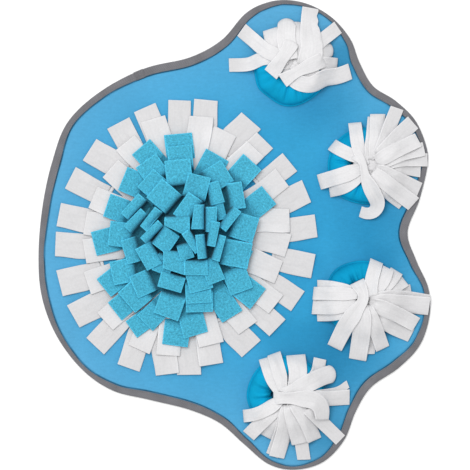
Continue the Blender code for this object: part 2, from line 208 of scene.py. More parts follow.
def setCamera(view):
    height = photo["side"] * photo["mmPerPixel"] * metre * view["lens"] / view["sensor"]
    bpy.ops.object.camera_add(location=(*inMetres(view["centre"]), height), rotation=(0, 0, 0))
    camera = bpy.context.object
    camera.data.lens = view["lens"]
    camera.data.sensor_width = view["sensor"]
    camera.data.clip_end = view["clipEnd"]
    bpy.context.scene.camera = camera


def seenAt(x, y):
    # a place on the photograph, in its pixels, as a place on the mat
    (middleX, middleY), scale = photo["middle"], photo["mmPerPixel"]
    return np.array(((x - middleX) * scale, (middleY - y) * scale))


setCamera(cameraView)
print("stage: camera set")

textureMiddle = (0.3, 0.7)  # the part of a noise texture's range that most of it falls in
bandPitch = 0.314  # metres from band to band in a wave texture of scale 1


def feed(node, inputs):
    # give inputs their values, or links from other nodes' outputs
    for key, value in inputs.items():
        if isinstance(value, bpy.types.NodeSocket):
            node.id_data.links.new(value, node.inputs[key])
        else:
            node.inputs[key].default_value = value


def addNode(tree, kind, inputs, **settings):
    made = tree.nodes.new("ShaderNode" + kind)
    for key, value in settings.items():
        setattr(made, key, value)
    feed(made, inputs)
    return made


def tint(colour, share=1):
    return (*[min(c * share, 1) for c in colour], 1)


def startFinish(name, look):
    finish = bpy.data.materials.new(name)
    finish.use_nodes = True
    shader = finish.node_tree.nodes["Principled BSDF"]
    feed(shader, {"Base Color": tint(look["colour"]), "Roughness": look["roughness"],
                  "Specular IOR Level": look["shine"]})
    if "sheen" in look:
        weight, roughness = look["sheen"]
        feed(shader, {"Sheen Weight": weight, "Sheen Roughness": roughness})
    return finish, shader, addNode(finish.node_tree, "TexCoord", {}).outputs


def blendColours(factor, first, second):
    # colour that goes from first to second with a texture's value; each is a colour or an output
    return addNode(factor.id_data, "Mix", {0: factor, 6: first, 7: second}, data_type="RGBA").outputs[2]


def multiplyColour(colour, value):
    return addNode(colour.id_data, "Mix", {0: 1.0, 6: colour, 7: value}, data_type="RGBA",
                   blend_type="MULTIPLY").outputs[2]


def stretchValue(value, low, high, outLow, outHigh):
    return addNode(value.id_data, "MapRange", {0: value, 1: low, 2: high, 3: outLow, 4: outHigh}).outputs[0]


def addValues(first, second, share):
    # first plus a share of second
    return addNode(first.id_data, "Math", {0: second, 1: share, 2: first}, operation="MULTIPLY_ADD").outputs[0]


def largest(first, second):
    return addNode(first.id_data, "Math", {0: first, 1: second}, operation="MAXIMUM").outputs[0]


def partOf(vector, axis):
    return addNode(vector.id_data, "SeparateXYZ", {0: vector}).outputs[axis]


def noise(vector, scale, detail=2.0, rough=0.5, stretch=None):
    tree = vector.id_data
    if stretch:
        vector = addNode(tree, "Mapping", {0: vector, "Scale": (*stretch, 1)}).outputs[0]
    inputs = {"Vector": vector, "Scale": scale, "Detail": detail, "Roughness": rough}
    return addNode(tree, "TexNoise", inputs).outputs[0]


def bands(vector, direction, pitch, distortion, detail):
    inputs = {"Vector": vector, "Scale": bandPitch / (pitch * metre), "Distortion": distortion,
              "Detail Scale": detail}
    return addNode(vector.id_data, "TexWave", inputs, wave_type="BANDS", bands_direction=direction).outputs["Fac"]


def vary(colour, value, dark, light, span=textureMiddle):
    # the colour, darker where a texture is low and lighter where it is high
    return multiplyColour(colour, stretchValue(value, *span, dark, light))


def mottle(colour, value, dark, light):
    return blendColours(stretchValue(value, *textureMiddle, 0, 1), tint(colour, dark), tint(colour, light))


def finishSurface(shader, colour, height, bump):
    strength, distance = bump
    inputs = {"Height": height, "Strength": strength, "Distance": distance * metre}
    feed(shader, {"Base Color": colour, "Normal": addNode(shader.id_data, "Bump", inputs).outputs[0]})


# low is the share of light left by painted shade deep down, and edge the painted highlight on cut edges
fleeceLook = dict(roughness=0.95, shine=0.1, sheen=(0.03, 0.6), nap=900, curls=620, mottleScale=300,
                  grainScale=(30 / 2.0, 60 / 2.2), streakScale=(13, 2.4), highlightWidth=(0.16, 0.07))
whiteLook = dict(fleeceLook, colour=(0.70, 0.695, 0.705), mottle=0.02, grain=0.025, streak=0.035, bump=(0.35, 0.4),
                 low=0.85, edge=1.12)
tealFleeceLook = dict(fleeceLook, colour=(0.067, 0.417, 0.594), mottle=0.05, grain=0.28, streak=0.03,
                      bump=(1.0, 0.4), low=0.42, edge=1.6)


def paintedEdgeHighlight(place, widths, value):
    # painted highlight: a value that rises where a ribbon's own coordinates come close to its long sides or its tip
    across = addNode(place.id_data, "Math", {0: partOf(place, "X"), 1: 0.5}, operation="PINGPONG").outputs[0]
    return largest(stretchValue(across, 0, widths[0], value, 1),
                   stretchValue(partOf(place, "Y"), 1 - widths[1], 1, 1, value))


def fleeceFinish(name, look, paintedShadeReach):
    # a short nap with a grain that follows each ribbon; painted shade makes it darker the lower it lies, deep between
    # the petals
    finish, shader, places = startFinish(name, look)
    place, laid = places["Object"], places["UV"]
    nap = noise(place, look["nap"], 3, 0.6)
    streak = noise(laid, 1, 2, 0.5, look["streakScale"])
    shade = mottle(look["colour"], noise(place, look["mottleScale"]), 1 - look["mottle"], 1 + look["mottle"])
    for value in (noise(laid, 1, 2, 0.6, look["grainScale"]), nap):
        shade = vary(shade, value, 1 - look["grain"], 1 + look["grain"] * 0.7)
    shade = vary(shade, streak, 1 - look["streak"], 1 + look["streak"])
    # painted shade: darker below the given heights, where petals and strips lie deep
    shade = vary(shade, partOf(place, "Z"), look["low"], 1, inMetres(paintedShadeReach))
    # painted highlight along the cut edges
    shade = multiplyColour(shade, paintedEdgeHighlight(laid, look["highlightWidth"], look["edge"]))
    curls = addNode(finish.node_tree, "TexVoronoi", {"Vector": place, "Scale": look["curls"]})
    fuzz = addValues(nap, curls.outputs["Distance"], -0.5)
    finishSurface(shader, shade, addValues(fuzz, streak, 1.5), look["bump"])
    return finish


def weaveHeight(place, thread):
    # threads that pass over and under each other: two sets of bands, each showing where the other dips
    return largest(*(bands(place, direction, thread, 0.6, 2.0) for direction in ("X", "Y")))


def awayFrom(place, x, y):
    # how far, in metres, the surface is from a place on the mat
    inputs = {0: place, "Location": (x * metre, y * metre, 0)}
    centred = addNode(place.id_data, "Mapping", inputs, vector_type="TEXTURE").outputs[0]
    return addNode(place.id_data, "VectorMath", {0: centred}, operation="LENGTH").outputs["Value"]


def paintShadeNear(place, colour, paintedShades):
    # painted shade, deeper and more saturated near each place: x, y, reach, share of the light left in the middle
    for x, y, reach, deepest in paintedShades:
        near = stretchValue(awayFrom(place, x, y), reach * 0.3 * metre, reach * metre, 1, 0)
        deep = (deepest ** 2.2, deepest, deepest ** 0.8, 1)
        colour = multiplyColour(colour, blendColours(near, (1.0, 1.0, 1.0, 1), deep))
    return colour


# cloth tones: colour in the middle and edge further out, blended as a painted sheen that makes the cloth paler and
# lighter away from the middle; the shades are painted shade at listed places, most of them near the tassels and
# pouches, and seam is the light left by painted shade low in the groove beside the tape
clothLook = dict(
    colour=(0.036, 0.327, 0.588), edge=(0.108, 0.37, 0.605), paintedSheenCentre=(40, 0), paintedSheen=(130, 330),
    paintedShades=[
        (120, -145, 95, 0.86), (70, 160, 60, 0.93), (105, 40, 60, 0.94), (110, -158, 60, 0.9), (122, -10, 60, 0.95),
        (145, -160, 75, 0.82), (191, 0, 75, 0.8), (116, 172, 60, 0.8), (139, 226, 36, 0.72), (84, -39, 40, 0.87),
        (-165, 130, 95, 0.95), (118, -252, 52, 0.76), (60, -132, 40, 0.92), (190, -40, 34, 0.85),
    ],
    roughness=0.82, shine=0.12, sheen=(0.02, 0.5), thread=0.6, bump=(0.6, 0.1), seam=0.25, seamShadeHeights=(1.2, 2.0),
)


def clothFinish(look=clothLook):
    finish, shader, places = startFinish("skyBlueCloth", look)
    place = places["Object"]
    # painted sheen: paler and lighter with distance from the middle
    paintedSheen = stretchValue(awayFrom(place, *look["paintedSheenCentre"]), *inMetres(look["paintedSheen"]), 0, 1)
    tone = blendColours(paintedSheen, tint(look["colour"]), tint(look["edge"]))
    slubs = noise(place, 330, 3, 0.6, (0.35, 1))
    for value, depth in ((slubs, 0.045), (noise(place, 400, 2, 0.6), 0.035), (noise(place, 14), 0.04)):
        tone = vary(tone, value, 1 - depth, 1 + depth)
    # painted shade near the tassels and pouches
    tone = paintShadeNear(place, tone, look["paintedShades"])
    # painted shade: darker where the cloth dips low, in the groove beside the tape
    tone = vary(tone, partOf(place, "Z"), look["seam"], 1, inMetres(look["seamShadeHeights"]))
    threads = weaveHeight(place, look["thread"])
    tone = vary(tone, threads, 0.95, 1.02, (0, 1))
    finishSurface(shader, tone, addValues(threads, slubs, 0.6), look["bump"])
    return finish


tapeLook = dict(colour=(0.174, 0.173, 0.187), roughness=0.85, shine=0.25, sheen=(0.1, 0.5), rib=1.5, slant=35,
                bump=(0.7, 0.25))


def tapeFinish(length, around, look=tapeLook):
    # twill ribs follow the tape through its own UV map, which runs along it and round its section
    finish, shader, places = startFinish("greyTwillTape", look)
    laid = places["UV"]
    for key, value in (("Scale", (around * metre, length * metre, 1)),
                       ("Rotation", (0, 0, math.radians(look["slant"])))):
        laid = addNode(finish.node_tree, "Mapping", {0: laid, key: value}).outputs[0]
    ribs = bands(laid, "Y", look["rib"], 0.4, 1.0)
    tone = mottle(look["colour"], noise(places["Object"], 55, 3), 0.88, 1.12)
    finishSurface(shader, vary(tone, ribs, 0.8, 1.08, (0, 1)), ribs, look["bump"])
    return finish


threadLook = dict(colour=(0.24, 0.24, 0.25), roughness=0.6, shine=0.4, twist=2500, bump=(0.4, 0.15))


def threadFinish(look=threadLook):
    finish, shader, places = startFinish("greyThread", look)
    twist = noise(places["Object"], look["twist"], 1)
    finishSurface(shader, mottle(look["colour"], twist, 0.75, 1.15), twist, look["bump"])
    return finish


# the pouch's shades are painted shade in two deep folds under the tassels
pouchLook = dict(colour=(0.002, 0.335, 0.585), roughness=0.75, shine=0.08, thread=0.8, bump=(0.4, 0.2),
                 paintedShades=[(137, -54, 36, 0.66), (37, -207, 20, 0.6)])


def pouchFinish(look=pouchLook):
    finish, shader, places = startFinish("cyanPouchCloth", look)
    place = places["Object"]
    threads = weaveHeight(place, look["thread"])
    tone = mottle(look["colour"], noise(place, 45, 3), 0.88, 1.08)
    tone = paintShadeNear(place, vary(tone, threads, 0.92, 1.03, (0, 1)), look["paintedShades"])
    finishSurface(shader, tone, threads, look["bump"])
    return finish


whiteFleece = fleeceFinish("whiteFleece", whiteLook, (5, 12))
print("stage: finishes made")


def cubic(start, end, leave, arrive, t):
    # points and directions on a curve from its start to its end, that leaves and arrives by these vectors
    points = ((2 * t ** 3 - 3 * t ** 2 + 1) * start + (t ** 3 - 2 * t ** 2 + t) * leave
              + (3 * t ** 2 - 2 * t ** 3) * end + (t ** 3 - t ** 2) * arrive)
    return points, ((6 * t ** 2 - 6 * t) * (start - end) + (3 * t ** 2 - 4 * t + 1) * leave
                    + (3 * t ** 2 - 2 * t) * arrive)


def outlineCurve(steps):
    # points and inward normals along the smooth closed curve through the outline, and the tape that shows
    table = np.array(matOutline, dtype=float)
    knots, shown, further = table[:, :2], table[:, 2:3], table[:, 3:]
    knots = knots + unitRows(-leftOf(np.roll(knots, -1, axis=0) - np.roll(knots, 1, axis=0))) * further
    share = smoothStep(np.arange(steps) / steps, 0, 1)
    shown = (shown * (1 - share) + np.roll(shown, -1, axis=0) * share).ravel()
    before, after, beyond = (np.roll(knots, shift, axis=0) for shift in (1, -1, -2))
    parts = (a[:, None, :] for a in (knots, after, (after - before) / 2, (beyond - knots) / 2))
    points, ahead = (a.reshape(-1, 2) for a in cubic(*parts, np.arange(steps)[None, :, None] / steps))
    return points, unitRows(-leftOf(ahead)), shown


# the flat cloth: thin under the tape, with soft puckers beside it and a few shallow creases
clothSizes = dict(
    gripInset=1.5, thinInset=9.6, squeezeInset=10.7, gripHeight=1.2, rimGap=-0.2, rings=52, steps=6,
    middle=(-10, 0), shrink=0.999, puckerDepth=0.45, puckerReach=16, rollDepth=0.5, deepest=(1.0, 1.75),
    seamDepth=1.7, seamAt=0.9, seamHalf=0.8,
)
clothCreases = [  # from, to, half width, depth
    ((190, -78), (212, -135), 7, 1.0), ((120, -258), (165, -272), 6, 0.9), ((117, -250), (150, -262), 5, 0.8),
    ((-205, 60), (-160, 150), 10, 0.8), ((-215, -60), (-175, -150), 10, 0.8), ((120, 20), (195, 10), 12, 0.6),
    ((15, 215), (-5, 235), 9, 0.8), ((20, -210), (0, -235), 9, 0.8), ((215, 40), (190, 25), 8, 0.8),
    ((60, -150), (110, -160), 9, 0.8), ((110, -20), (150, -35), 8, 0.6), ((60, 150), (95, 130), 9, 0.6),
]


def creaseDepth(x, y):
    total = np.zeros_like(x)
    for (x1, y1), (x2, y2), half, depth in clothCreases:
        run = np.array((x2 - x1, y2 - y1), dtype=float)
        share = np.clip(((x - x1) * run[0] + (y - y1) * run[1]) / run.dot(run), 0, 1)
        away = np.hypot(x - x1 - share * run[0], y - y1 - share * run[1])
        total += depth * hump(away, half) * np.sin(math.pi * np.clip(share, 0.05, 0.95))
    return total


def makeCloth(sizes):
    points, inward, shown = outlineCurve(sizes["steps"])
    grip = sizes["gripHeight"]
    loops = [atHeight(points + inward * sizes[inset], height) for inset, height in (
        ("squeezeInset", 0), ("thinInset", grip), ("gripInset", grip), ("gripInset", clothTop))]
    rim = points + inward * (shown + sizes["rimGap"])[:, None]
    pucker = 0.5 + 0.5 * wander(len(points), 3, (37, 53, 71, 88))
    shallow, deepest = sizes["deepest"]
    for share in np.linspace(0, 1, sizes["rings"]) ** 1.6:
        loop = rim + (sizes["middle"] - rim) * share * sizes["shrink"]
        inside = np.linalg.norm(rim - loop, axis=1)
        low = sizes["puckerDepth"] * pucker * np.exp(-inside / sizes["puckerReach"])
        x, y = loop.T
        roll = sizes["rollDepth"] * (0.5 + 0.25 * np.sin(x / 31 + y / 47) + 0.25 * np.sin(y / 26 - x / 53))
        soft = np.minimum(low + roll * 0.6 + creaseDepth(x, y), shallow)
        seam = sizes["seamDepth"] * hump(inside - sizes["seamAt"], sizes["seamHalf"])
        loops.append(atHeight(loop, clothTop - np.minimum(soft + seam, deepest)))
    cloth = gridPiece(closeRound(np.array(loops)), joined=True)
    with editMode(openEdges=True):
        bpy.ops.mesh.edge_face_add()
    cloth.name = "pawCloth"
    turnOutwards(cloth)
    bpy.ops.object.shade_smooth_by_angle(angle=math.radians(40))
    return cloth


cloth = makeCloth(clothSizes)
dress(cloth, clothFinish(), ["mat_cloth"])
print("stage: cloth laid,", len(cloth.data.polygons), "faces")

# the folded tape round the edge, with its row of stitches and its lap
tapeSizes = dict(width=9.0, thickness=1.2, height=4.5, bend=0.9, flapFrom=1.1, steps=14, ripple=0.16, waver=0.25)
stitchSizes = dict(inset=6.9, pitch=3.1, length=2.3, radius=0.28, sides=6, bevel=0.12, sink=0.1)
lapSizes = dict(at=(-122, 205.5), length=13.5, more=0.55, steps=60, window=200)


def tapeSection(sizes):
    # inset and height round the folded tape, from its lower inner edge over the rim to its upper one
    width, thick, high, bend = (sizes[key] for key in ("width", "thickness", "height", "bend"))
    near, far = bend * 0.35, bend * 1.2
    return [(width, 0), (5, 0), (far, 0), (near, near), (0, far), (0, high / 2), (0, high - far),
            (near, high - near), (far, high), (3, high), (5, high), (6.4, high), (stitchSizes["inset"], high - 0.25),
            (7.4, high), (width - 0.4, high), (width, high - 0.35), (width, high - thick), (5, high - thick),
            (thick, high - thick), (thick, thick), (5, thick), (width, thick)]


def flapInset(inset, shown, sizes):
    # where a line of the upper flap lies: the flap shows less round a tip of the mat, where its edge rolls under
    start, width = sizes["flapFrom"], sizes["width"]
    return inset + max(inset - start, 0) / (width - start) * (shown - width)


def layTape(section, outline, sizes, ripple=0, waver=0):
    # the section carried along the outline; the upper flap ripples and its edge wavers
    points, inward, shown = outline
    high = sizes["height"]
    lanes = []
    for inset, height in section:
        upper = height > high - sizes["thickness"] / 2 and inset > 1
        reach = flapInset(inset, shown if height > high / 2 else np.full(len(points), sizes["width"]), sizes)
        if upper and inset >= sizes["width"] - 0.5:
            reach = reach + waver
        lanes.append(atHeight(points + inward * reach[:, None], height + (ripple if upper else 0)))
    return np.stack(lanes, axis=1)


def makeLap(sizes, lap):
    # the tape's end, folded over its beginning
    outline = outlineCurve(lap["steps"])
    nearest = np.argmin(np.linalg.norm(outline[0] - lap["at"], axis=1))
    index = np.arange(nearest - lap["window"], nearest + lap["window"]) % len(outline[0])
    run = lengthAlong(outline[0][index])
    index = index[np.abs(run - run[lap["window"]]) < lap["length"] / 2]
    more = lap["more"]
    section = [(inset + (more if inset > 5 else -more), height + (more if height > 2 else 0))
               for inset, height in tapeSection(sizes)]
    piece = gridPiece(closeRound(layTape(section, [part[index] for part in outline], sizes)), joined=True)
    with editMode(openEdges=True):
        bpy.ops.mesh.fill_holes(sides=0)
    return piece


def makeTape(sizes, lap):
    outline = outlineCurve(sizes["steps"])
    count = len(outline[0])
    ripple = np.minimum(wander(count, 5, (97, 131, 163)) * sizes["ripple"], 0.1)
    waver = wander(count, 8, (23, 41, 67)) * sizes["waver"]
    section = tapeSection(sizes)
    grid = closeRound(layTape(section, outline, sizes, ripple, waver))
    tape = joinPieces([gridPiece(closeRound(grid, 0), joined=True), makeLap(sizes, lap)], "edgeTape")
    turnOutwards(tape)
    bpy.ops.object.shade_smooth_by_angle(angle=math.radians(50))
    return tape, *(lengthAlong(closeRound(np.array(loop), 0))[-1] for loop in (outline[0], section))


def makeStitches(sizes, height):
    # one stitch is a short bevelled thread; the rest are copies set along the tape
    points, inward, shown = outlineCurve(20)
    loop = closeRound(points + inward * flapInset(sizes["inset"], shown, tapeSizes)[:, None], 0)
    lengths = lengthAlong(loop)
    total = int(lengths[-1] / sizes["pitch"])
    places = placesAlong(loop, lengths, np.linspace(0, lengths[-1], total, endpoint=False))
    deselectAll()
    bpy.ops.mesh.primitive_cylinder_add(vertices=sizes["sides"], radius=sizes["radius"] * metre,
                                        depth=sizes["length"] * metre, rotation=(0, math.pi / 2, 0))
    bpy.ops.object.transform_apply()
    with editMode():
        bpy.ops.mesh.bevel(offset=sizes["bevel"] * metre, segments=1, affect="EDGES")
    copies = [bpy.context.object]
    for _ in range(total - 1):
        copy = copies[0].copy()
        copy.data = copies[0].data.copy()
        bpy.context.scene.collection.objects.link(copy)
        copies.append(copy)
    ahead = np.roll(places, -1, axis=0) - np.roll(places, 1, axis=0)
    for copy, (x, y), (aheadX, aheadY) in zip(copies, places, ahead):
        turn = Matrix.Rotation(math.atan2(aheadY, aheadX), 4, "Z")
        copy.data.transform(Matrix.Translation(inMetres((x, y, height))) @ turn)
    stitches = joinPieces(copies, "tapeStitches")
    bpy.ops.object.shade_smooth()
    return stitches


tape, tapeLength, tapeAround = makeTape(tapeSizes, lapSizes)
dress(tape, tapeFinish(tapeLength, tapeAround), ["edge_tape"])
stitches = makeStitches(stitchSizes, tapeSizes["height"] - stitchSizes["sink"])
dress(stitches, threadFinish())
print("stage: tape folded on,", len(tape.data.polygons), "faces,", len(stitches.data.polygons), "on its stitches")

# how fleece ribbons are laid on each other: heights of all that lies on the cloth so far, on a square grid
pileSizes = dict(cell=1.0, reach=310, clearance=0.35, step=0.7, lanes=40, cover=0.55)
pile = np.full([int(2 * pileSizes["reach"] / pileSizes["cell"]) + 1] * 2, clothTop)


def pileCells(xy):
    index = np.rint((xy + pileSizes["reach"]) / pileSizes["cell"]).astype(int)
    return np.clip(index, 2, len(pile) - 3)


def heightUnder(xy):
    index = pileCells(xy)
    return np.max([pile[index[..., 0] + i, index[..., 1] + j] for i in (-1, 0, 1) for j in (-1, 0, 1)], axis=0)


def coverPile(xy, top):
    index = pileCells(xy)
    np.maximum.at(pile, (index[..., 0], index[..., 1]), top)


def resample(grid, rows, lanes):
    for axis, count in ((0, rows), (1, lanes)):
        grid = np.swapaxes(grid, 0, axis)
        place = np.linspace(0, len(grid) - 1, count)
        low = np.minimum(place.astype(int), len(grid) - 2)
        share = (place - low)[:, None, None]
        grid = np.swapaxes(grid[low] * (1 - share) + grid[low + 1] * share, 0, axis)
    return grid


def settleRibbon(natural, xy, thickness, held, passes, clearance=pileSizes["clearance"]):
    # lift the ribbon clear of the pile and let it bridge smoothly between what carries it
    need = heightUnder(xy) + clearance + thickness / 2
    need[held] = -100
    height = np.maximum(natural, need)
    for _ in range(passes):
        smooth = height.copy()
        smooth[1:-1] = 0.25 * height[:-2] + 0.5 * height[1:-1] + 0.25 * height[2:]
        smooth[-1] = 0.6 * height[-1] + 0.4 * (2 * height[-2] - height[-3])
        across = smooth.copy()
        across[:, 1:-1] = 0.3 * smooth[:, :-2] + 0.4 * smooth[:, 1:-1] + 0.3 * smooth[:, 2:]
        for edge, inner, middle in ((0, 1, 2), (-1, -2, -3)):
            across[:, edge] = 0.5 * smooth[:, edge] + 0.5 * (2 * smooth[:, inner] - smooth[:, middle])
        height = np.maximum(np.maximum(across, natural), need)
        height[0] = natural[0]
    return height


def layOnPile(xy, height, thickness, free=slice(None)):
    # the settled ribbon as rows of points; its free rows now carry what comes after
    ribbon = atHeight(xy, height)
    rows = ribbon[free]
    run = int(lengthAlong(rows[:, rows.shape[1] // 2])[-1] / pileSizes["step"])
    fine = resample(rows, max(run, 8), pileSizes["lanes"])
    coverPile(fine[..., :2], fine[..., 2] + thickness * pileSizes["cover"])
    return ribbon


def stations(count, border, length):
    # shares of the way along a ribbon, with one more line close to its cut end
    return np.sort(np.append(np.linspace(0, 1, count), 1 - border / length))


def lanePlaces(count, border, width):
    # places across a ribbon from 1 to -1, with one more line close to each cut edge
    inner = np.linspace(1, -1, count)
    return np.concatenate(([1, 1 - border / width], inner[1:-1], [border / width - 1, -1]))


def unevenHalf(half, t, chance, look, fastest=6, start=0):
    # half a ribbon's width, which swells and narrows a little along it
    return half * (1 + look["uneven"] * chance.uniform(-1, 1) * np.sin(t * chance.uniform(3, fastest) + start))


def spreadLanes(points, along, half, lanes, shift):
    # the lanes beside a line of points, each moved on along it by its shift
    xy = points[:, None, :] + leftOf(along)[:, None, :] * (half[:, None] * lanes)[..., None]
    return xy + along[:, None, :] * shift[..., None]


def smoothPath(knots, count):
    # points and directions along a rounded line through the knots, evenly spaced
    knots = np.array(knots, dtype=float)
    ends = np.concatenate(([2 * knots[0] - knots[1]], knots, [2 * knots[-1] - knots[-2]]))
    t = np.linspace(0, 1, 24, endpoint=False)[:, None]
    fine = [cubic(b, c, (c - a) / 2, (d - b) / 2, t)[0] for a, b, c, d in zip(ends, ends[1:], ends[2:], ends[3:])]
    fine = np.concatenate(fine + [knots[-1:]])
    lengths = lengthAlong(fine)
    places = stations(count, 0.8, lengths[-1]) * lengths[-1]
    points = placesAlong(fine, lengths, places)
    return points, unitRows(np.gradient(points, places, axis=0)), places


def spreadAngles(angles, least):
    # push neighbours on a circle apart until they are at least so far from each other
    order = np.argsort(angles)
    turned = np.array(angles, dtype=float)[order]
    for _ in range(300):
        gap = np.diff(np.append(turned, turned[0] + 360))
        push = np.maximum(least - gap, 0) / 2
        turned += np.roll(push, 1) - push
    placed = np.empty(len(angles))
    placed[order] = turned
    return placed


flowerSizes = dict(centre=(-61, -3), thickness=2.0, band=5.0, droop=0.12, rootPitch=0.8, rootShare=0.97,
                   firstHeight=4.3, droopTip=2.2, tipSpread=1.4, paintedShadeBelow=(13, 3))
petalLook = dict(rows=15, lanes=5, border=(0.7, 1.4), uneven=0.03, slant=0.7, camber=1.0, curl=1.4, lean=1.0,
                 fold=1.1, foldHalf=0.09, held=0.12, fullFrom=0.45, pull=1.2, passes=10)
tealLook = dict(rows=19, lanes=7, border=1.4, uneven=0.02, slant=0.6, camber=1.6, ramp=4, tilt=1.5, passes=3,
                clearance=0.9, slope=0.5, easing=8, shortest=11)
# Petals: bearing of the tip round the flower, reach from its centre, turn of the tip, width.
petalRings = [
    dict(name="petals_white_outer", root=116, rise=0.3, petals=[
        (93, 175, -3, 29), (82, 177, 4, 31), (61, 170, -13, 33), (51, 159, -6, 29), (36, 163, 2, 29),
        (21, 164, 4, 31), (5, 166, 3, 30), (347, 166, 1, 31), (330, 164, -3, 31), (315, 164, 2, 30),
        (300, 165, 11, 33), (281, 166, 0, 30), (271, 176, 1, 31), (262, 177, 13, 30), (246, 183, 4, 30),
        (230, 182, -2, 31), (215, 177, -6, 33), (200, 173, -5, 34), (183, 168, -6, 32), (170, 166, -2, 31),
        (153, 167, -1, 30), (138, 167, 9, 33), (121, 170, -2, 32), (108, 174, 4, 30),
    ]),
    dict(name="petals_white_inner", root=80, rise=3, share=1.3, petals=[
        (106, 157, 2, 32), (83, 155, 2, 31), (70, 144, -8, 31), (52, 143, -6, 30), (32, 144, 6, 29),
        (9, 133, -7, 30), (355, 130, -12, 31), (339, 126, -2, 31), (323, 143, 0, 30), (304, 140, 4, 30),
        (283, 141, 2, 32), (261, 153, 4, 30), (247, 156, 0, 30), (226, 150, -4, 30), (205, 140, -4, 30),
        (188, 132, 0, 31), (172, 131, 0, 31), (157, 130, 0, 30), (138, 131, 0, 31), (123, 144, 6, 30),
    ]),
]
# Teal petals, the lowest first: width, then the places where the petal bends over and where its tip ends, all
# in the photograph's pixels.
tealRings = [
    dict(name="petals_teal_rim", root=78, band=21, top=14, run=20, petals=[
        (28, (181, 158), (178, 134)), (24, (157, 165), (141, 147)), (25, (145, 188), (123, 178.5)),
        (23.5, (129.6, 213), (107, 205)), (24.7, (117.3, 238), (94, 244)), (23, (123, 273), (104, 288)),
        (22.5, (133.5, 296), (115, 311.5)), (20, (151, 315), (131.5, 329.5)), (22, (162, 306), (145, 323)),
        (26, (178, 322), (175, 345.5)), (25, (190, 312), (196, 335)), (23.5, (214, 289), (232.5, 316.5)),
        (25.6, (239, 284), (258, 299)), (24, (226, 252), (248, 262)), (23.5, (250, 210), (269, 195)),
        (24.5, (236, 180), (252.5, 162)), (26, (206.5, 176), (217.5, 155)),
    ]),
    dict(name="petals_teal_second", root=57.5, band=19, top=22, run=18, petals=[
        (25, (181.5, 170), (179.5, 146)), (25, (160, 180.5), (146, 160.7)), (24.5, (133, 236), (109.5, 233)),
        (24, (136, 269), (112, 273.5)), (27, (145, 287), (126.7, 302.5)), (27, (199.5, 289), (199.5, 312)),
        (26, (198, 280), (199, 303)), (26, (174, 294), (166, 316.7)), (24.7, (207, 183), (227.5, 170.5)),
        (24.4, (164, 194), (145.5, 178)), (23.3, (153, 279), (134, 287.5)), (25, (140, 248), (124.5, 252.7)),
        (26, (231.5, 223.5), (255.7, 231)), (24, (233, 268), (242, 291.5)), (26, (220.5, 250.8), (250, 256.3)),
        (26.6, (227.8, 197), (243.7, 194.7)),
    ]),
    dict(name="petals_teal_third", root=39, band=17.5, top=29, run=12, petals=[
        (26, (180.5, 186), (177.5, 160), dict(ramp=14)), (26.6, (138.6, 211), (130.1, 203.4)),
        (24.5, (140.4, 224.6), (132.5, 217.1)), (20, (213, 212), (224.5, 208.5)), (18, (168, 255), (160.5, 273)),
        (24, (196, 267), (202, 290.5)), (25, (174, 274), (169.5, 289.5)), (25, (157.5, 251.5), (141.5, 260)),
        (22.7, (208, 195), (221.7, 191.5)), (23.3, (193.5, 199.5), (200, 175.5)), (24.8, (174.5, 205), (154.5, 188)),
        (18, (207, 258.5), (217, 282)),
    ]),
    dict(name="petals_teal_centre", root=22, band=14, top=35, run=7, petals=[
        (27, (196, 213), (181, 203)), (25.2, (155.5, 235), (149.5, 229)), (24.8, (155, 222), (148, 216.5)),
        (22, (158, 234), (173.8, 245.7)), (22.8, (175, 250.5), (174.3, 271.5), dict(slant=4)),
        (23.5, (196, 259.5), (196.2, 275)), (25.2, (225.7, 216), (233.7, 222)), (14, (183, 243), (188, 259)),
    ]),
    dict(name="petals_teal_heart", root=8.5, band=8, top=41, run=4, petals=[
        (25, (177.5, 216.3), (177.5, 231.5), dict(slant=8.5)), (24, (196.3, 238.6), (188.7, 244)),
        (24, (206.5, 246), (196.8, 247)), (26, (216, 247), (222.8, 249)), (25, (205, 219.5), (216.8, 219.5)),
        (25, (205, 217), (193, 217), dict(slant=2)), (25, (208.5, 233), (217.8, 234.7)),
    ]),
]


def makeBand(radius, width, height):
    # the ring of fleece on which a row of petals is sewn
    deselectAll()
    bpy.ops.mesh.primitive_circle_add(vertices=72, radius=radius * metre,
                                      location=inMetres((*flowerSizes["centre"], height)))
    with editMode():
        bpy.ops.mesh.extrude_edges_move()
        bpy.ops.transform.resize(value=((radius - width) / radius,) * 3)
    bpy.ops.object.transform_apply()
    return bpy.context.object


def finishRing(ring, pieces, finish):
    petals = joinPieces(pieces, ring["name"] + "_cut")
    thicken(petals, flowerSizes["thickness"], even="top" not in ring)
    dress(petals, finish, [ring["name"]])
    print("stage:", ring["name"], len(petals.data.polygons), "faces")
    return petals


